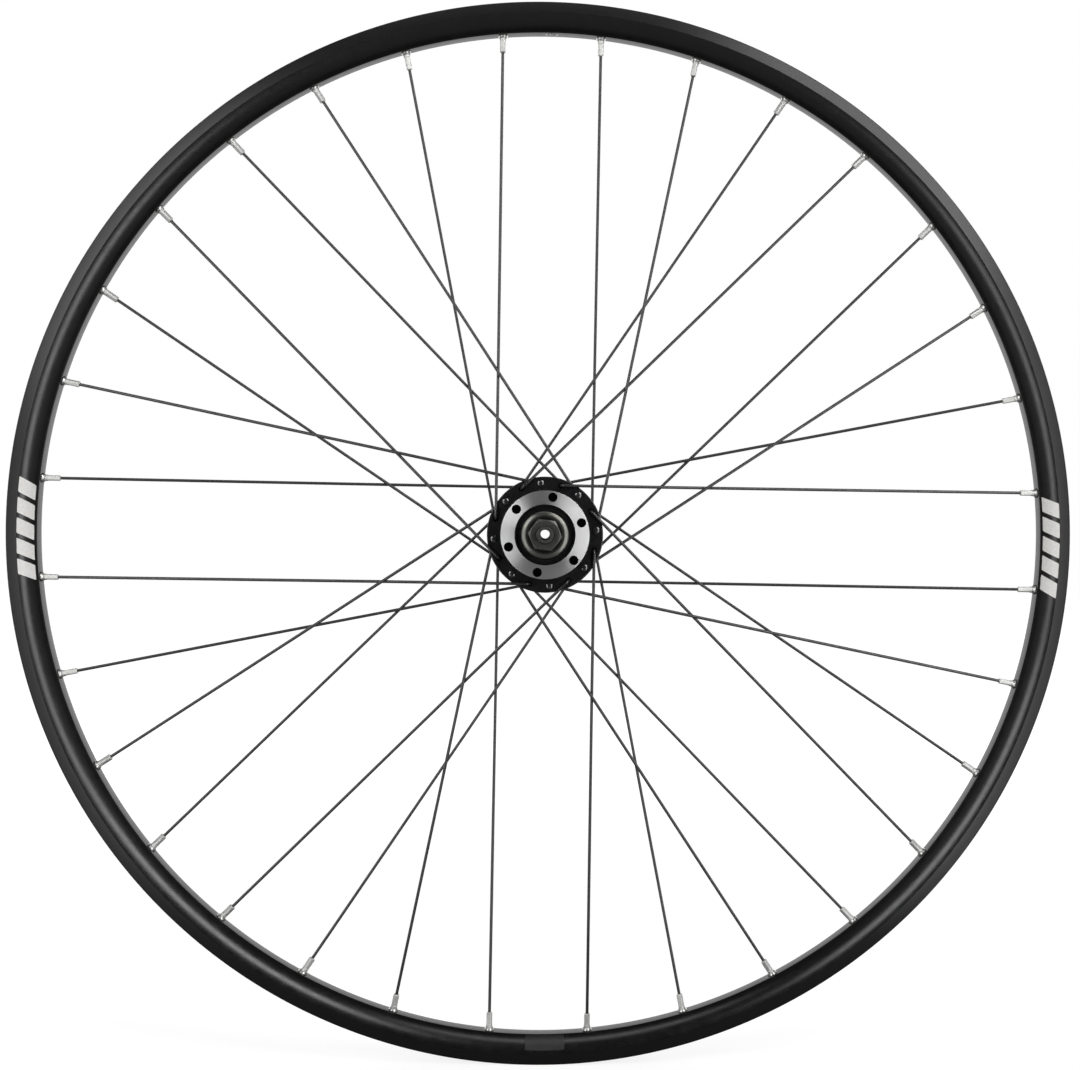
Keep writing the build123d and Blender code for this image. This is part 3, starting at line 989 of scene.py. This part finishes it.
satin_plate, tree, shader = finish("satin_nickel_plate", (0.7, 0.7, 0.685), 1.0, 0.64)
shades(tree, shader, drift(tree, 1.2 * mm, 0, 1), (0.63, 0.63, 0.615), (0.77, 0.77, 0.755))
roughens(tree, shader, drift(tree, 0.9 * mm, 0.58, 0.7))
nipples = grown(
    "nipple_nuts", piece_from("nipple_seats", seats), screw_on,
    Nipple=nipple_form, Most_Turn=radians(most_key_turn), Seed=key_turn_seed, Finish=satin_plate,
)
bpy.data.objects.remove(nipple_form)
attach(nipples, "wheel")
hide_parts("nipples")

# Print on the rim: a thin film of ink or foil on the bulge of the flank. A group of white slanted
# bars stands left and right of the hub on both sides, and a plain dark patch lies at the bottom.
bar_count = 5
bar_width = 9.0
bar_pitch = 11.9
bar_slant = 4.6
bar_foot = 0.17
bar_top = 0.99
bar_corner = 0.3
right_bars_turn = 90.6
left_bars_turn = 269.8
patch_width = 23.5
patch_foot = 0.03
patch_top = 0.82
patch_corner = 1.2
patch_turn = 179.25
corner_from = 0.4
film = 0.05
weld_gap = 0.002

wrap, given = new_tree(
    "print_on_flank", Bars="Int", Width="Float", Pitch="Float", Slant="Float", Foot="Float", Top="Float",
    Corner="Float", Turn="Float", Radius="Float", Film="Float", Finish="Material",
)
sheet = node(wrap, "GeometryNodeMeshGrid", {
    "Size X": given["Width"], "Size Y": 1.0, "Vertices X": 9, "Vertices Y": 25,
})
flat_place = node(wrap, "ShaderNodeSeparateXYZ", {0: node(wrap, "GeometryNodeInputPosition").outputs[0]})
into_corner = math(wrap, "SUBTRACT", math(wrap, "ABSOLUTE", flat_place.outputs["Y"]), corner_from)
into_corner = math(wrap, "MULTIPLY", into_corner, 1 / (0.5 - corner_from))
into_corner = math(wrap, "MAXIMUM", into_corner, 0.0)
kept = math(wrap, "SQRT", math(wrap, "SUBTRACT", 1.0, math(wrap, "MULTIPLY", into_corner, into_corner)))
lost = math(wrap, "MULTIPLY", math(wrap, "SUBTRACT", 1.0, kept), given["Corner"])
half_sheet = math(wrap, "MULTIPLY", given["Width"], 0.5)
narrowed = math(wrap, "SUBTRACT", 1.0, math(wrap, "DIVIDE", lost, half_sheet))
eased_place = node(wrap, "ShaderNodeCombineXYZ", {
    "X": math(wrap, "MULTIPLY", flat_place.outputs["X"], narrowed), "Y": flat_place.outputs["Y"],
})
eased_sheet = node(wrap, "GeometryNodeSetPosition", {
    "Geometry": sheet.outputs[0], "Position": eased_place.outputs[0],
})
row_length = math(wrap, "MULTIPLY", math(wrap, "SUBTRACT", given["Bars"], 1.0), given["Pitch"])
row_start = node(wrap, "ShaderNodeCombineXYZ", {"X": math(wrap, "MULTIPLY", row_length, -0.5)})
row_step = node(wrap, "ShaderNodeCombineXYZ", {"X": given["Pitch"]})
row = node(wrap, "GeometryNodeMeshLine", {
    "Count": given["Bars"], "Start Location": row_start.outputs[0], "Offset": row_step.outputs[0],
})
bars = node(wrap, "GeometryNodeInstanceOnPoints", {
    "Points": row.outputs[0], "Instance": eased_sheet.outputs[0],
})
bars = node(wrap, "GeometryNodeRealizeInstances", {"Geometry": bars.outputs[0]})
spot = node(wrap, "ShaderNodeSeparateXYZ", {0: node(wrap, "GeometryNodeInputPosition").outputs[0]})
leaning = math(wrap, "ADD", spot.outputs["X"], math(wrap, "MULTIPLY", spot.outputs["Y"], given["Slant"]))
round_turn = math(wrap, "ADD", math(wrap, "DIVIDE", leaning, given["Radius"]), given["Turn"])
print_height = math(wrap, "SUBTRACT", given["Top"], given["Foot"])
up_flank = math(wrap, "MULTIPLY", math(wrap, "ADD", spot.outputs["Y"], 0.5), print_height)
up_flank = math(wrap, "ADD", up_flank, given["Foot"])
on_flank = node(wrap, "GeometryNodeSampleCurve", {
    "Curves": given["Geometry"], "Factor": up_flank,
}, use_all_curves=True)
on_flank = node(wrap, "ShaderNodeSeparateXYZ", {0: on_flank.outputs["Position"]})
wrapped = node(wrap, "ShaderNodeCombineXYZ", {
    "X": math(wrap, "MULTIPLY", on_flank.outputs["Z"], math(wrap, "SINE", round_turn)),
    "Y": on_flank.outputs["Y"],
    "Z": math(wrap, "MULTIPLY", on_flank.outputs["Z"], math(wrap, "COSINE", round_turn)),
})
laid = node(wrap, "GeometryNodeSetPosition", {
    "Geometry": bars.outputs[0], "Position": wrapped.outputs[0],
})
raised = node(wrap, "GeometryNodeExtrudeMesh", {
    "Mesh": laid.outputs[0], "Offset Scale": given["Film"], "Individual": False,
}, mode="FACES")
under = node(wrap, "GeometryNodeFlipFaces", {"Mesh": laid.outputs[0]})
whole = node(wrap, "GeometryNodeJoinGeometry", {"Geometry": raised.outputs[0]})
wrap.links.new(under.outputs[0], whole.inputs[0])
whole = node(wrap, "GeometryNodeMergeByDistance", {
    "Geometry": whole.outputs[0], "Distance": mm * weld_gap,
})
close_tree(wrap, whole.outputs[0], given["Finish"])


def flank_line(side):
    """The flank's own curve, from bed to band on the disc side and from band to bed on the other."""
    path = [(-along, radius) for along, radius in flank] if side < 0 else list(reversed(flank))
    line = bpy.data.curves.new("flank_line", "CURVE")
    line.dimensions = "3D"
    run = line.splines.new("POLY")
    run.points.add(len(path) - 1)
    for point, (along, radius) in zip(run.points, path):
        point.co = (0, mm * along, mm * radius, 1)
    return piece_from("flank_line", line)


white_ink, tree, shader = finish("white_ink", (0.7, 0.69, 0.67), 0.0, 0.45)
shades(tree, shader, drift(tree, 1.5 * mm, 0, 1), (0.62, 0.61, 0.59), (0.72, 0.71, 0.69))
roughens(tree, shader, drift(tree, 0.8 * mm, 0.38, 0.55))

dark_foil, tree, shader = finish("dark_grey_foil", (0.009, 0.009, 0.009), 0.0, 0.36)
shades(tree, shader, drift(tree, 2 * mm, 0, 1), (0.0078, 0.0078, 0.0078), (0.0105, 0.0105, 0.0105))
roughens(tree, shader, drift(tree, 1.5 * mm, 0.32, 0.42))

for name, side, turn, foot, top in (
    ("print_bars_right", -1, right_bars_turn, bar_foot, bar_top),
    ("print_bars_left", -1, left_bars_turn, bar_foot, bar_top),
    ("print_bars_right_back", 1, right_bars_turn, 1 - bar_top, 1 - bar_foot),
    ("print_bars_left_back", 1, left_bars_turn, 1 - bar_top, 1 - bar_foot),
):
    bars = grown(
        name, flank_line(side), wrap, Bars=bar_count, Width=mm * bar_width, Pitch=mm * bar_pitch,
        Slant=mm * bar_slant, Foot=foot, Top=top, Corner=mm * bar_corner, Turn=radians(turn),
        Radius=mm * flank_middle[1], Film=mm * film, Finish=white_ink,
    )
    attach(bars, "wheel")
patch = grown(
    "print_patch", flank_line(-1), wrap, Bars=1, Width=mm * patch_width, Pitch=0.0, Slant=0.0,
    Foot=patch_foot, Top=patch_top, Corner=mm * patch_corner, Turn=radians(patch_turn),
    Radius=mm * flank_middle[1], Film=mm * film, Finish=dark_foil,
)
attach(patch, "wheel")

# Studio: a white floor under the wheel and a white surround behind it. Five softboxes stand in an
# arch in front of the wheel, with pale walls beside them and a dark room in the middle, and two more
# fill in the wheel's other side.
floor_gap = 0.2
floor_level = cad_box[0][2] - mm * floor_gap
floor_reach = 4.0
floor_front = -0.2
near_reach = 0.5
far_reach = 1.5
near_white = 0.85
dark_room = 0.015
lamp_distance = 2

ground = bmesh.new()
bmesh.ops.create_circle(ground, cap_ends=True, segments=96, radius=floor_reach)
floor_mesh = bpy.data.meshes.new("floor")
ground.to_mesh(floor_mesh)
ground.free()
floor_mesh.transform(Matrix.Translation((0, floor_front + floor_reach, floor_level)))
floor = piece_from("floor", floor_mesh)

paper, tree, shader = finish("white_paper", (0.2, 0.2, 0.2), 0.0, 0.9)
path = node(tree, "ShaderNodeLightPath")
mirrored = math(tree, "MAXIMUM", path.outputs["Is Glossy Ray"], path.outputs["Is Transmission Ray"])
place = node(tree, "ShaderNodeTexCoord").outputs["Object"]
flat_place = node(tree, "ShaderNodeVectorMath", {0: place, 1: (1, 1, 0)}, operation="MULTIPLY")
from_wheel = node(tree, "ShaderNodeVectorMath", {0: flat_place.outputs[0]}, operation="LENGTH")
far_off = node(tree, "ShaderNodeMapRange", {
    "Value": from_wheel.outputs["Value"], "From Min": near_reach, "From Max": far_reach,
}, interpolation_type="SMOOTHSTEP").outputs[0]
straight = math(tree, "ADD", math(tree, "MULTIPLY", far_off, 1 - near_white), near_white)
straight = math(tree, "MULTIPLY", straight, path.outputs["Is Camera Ray"])
glow = math(tree, "MAXIMUM", straight, math(tree, "MULTIPLY", far_off, mirrored))
shader.inputs["Emission Color"].default_value = (1, 1, 1, 1)
tree.links.new(glow, shader.inputs["Emission Strength"])
floor_mesh.materials.append(paper)

world = bpy.data.worlds.new("studio")
world.use_nodes = True
tree = world.node_tree
path = node(tree, "ShaderNodeLightPath")
outward = node(tree, "ShaderNodeTexCoord").outputs["Generated"]
direction = node(tree, "ShaderNodeSeparateXYZ", {0: outward})
level = path.outputs["Is Camera Ray"]
behind = direction.outputs["Y"]
beside = math(tree, "ABSOLUTE", direction.outputs["X"])
below = math(tree, "MULTIPLY", direction.outputs["Z"], -1.0)
for toward, start, full, shine in (
    (behind, 0.8, 0.93, 1.0),
    (beside, 0.55, 0.72, 0.36),
    (below, 0.2, 0.35, 0.26),
):
    part = node(tree, "ShaderNodeMapRange", {
        "Value": toward, "From Min": start, "From Max": full, "To Min": dark_room, "To Max": shine,
    }, interpolation_type="SMOOTHSTEP")
    level = math(tree, "MAXIMUM", level, part.outputs[0])
backdrop = tree.nodes["Background"]
backdrop.inputs["Color"].default_value = (1, 1, 1, 1)
tree.links.new(level, backdrop.inputs["Strength"])
bpy.context.scene.world = world


def softbox(name, turn, off, length, depth, brightness):
    """A soft lamp that faces the hub, at a turn round the axle and an angle off the axle."""
    lamp = bpy.data.lights.new(name, "AREA")
    lamp.shape = "RECTANGLE"
    lamp.size = length
    lamp.size_y = depth
    lamp.energy = brightness * pi * length * depth
    box = bpy.data.objects.new(name, lamp)
    swing = Matrix.Rotation(radians(turn), 4, "Y") @ Matrix.Rotation(radians(90 - off), 4, "X")
    box.matrix_world = swing @ Matrix.Translation((0, 0, lamp_distance))
    box.visible_camera = False
    bpy.context.scene.collection.objects.link(box)


softbox("softbox_right", 92, 37, 2.1, 0.5, 5.4)
softbox("softbox_top_right", 38, 50, 1.0, 0.5, 8.9)
softbox("softbox_above", 357, 69.5, 1.3, 0.42, 2.8)
softbox("softbox_top_left", 304, 42, 1.0, 0.55, 6.6)
softbox("softbox_left", 252, 38, 1.1, 0.5, 4.1)
softbox("softbox_back_right", 70, 138, 1.5, 0.9, 2.6)
softbox("softbox_back_left", 290, 138, 1.5, 0.9, 2.6)

# Camera: in front of the disc side and in line with the axle. It is turned a little to the right,
# and its frame is shifted back over the wheel.
camera_place = (0.0003, -1.0143, 0.005)
camera_yaw = -2.47
camera_tilt = -0.42
camera_roll = -0.83

camera = bpy.data.cameras.new("camera")
camera.sensor_fit = "HORIZONTAL"
camera.sensor_width = 36
camera.lens = 55.955
camera.shift_x = -0.0722
camera.shift_y = 0.0032
camera.clip_start = 0.01
stand = bpy.data.objects.new("camera", camera)
rolled = Matrix.Rotation(radians(camera_roll), 4, "Y") @ Matrix.Translation(camera_place)
turned_right = Matrix.Rotation(radians(camera_yaw), 4, "Z")
tilted = Matrix.Rotation(radians(90 + camera_tilt), 4, "X")
stand.matrix_world = rolled @ turned_right @ tilted
bpy.context.scene.collection.objects.link(stand)
bpy.context.scene.camera = stand
bpy.context.scene.view_settings.view_transform = "Standard"
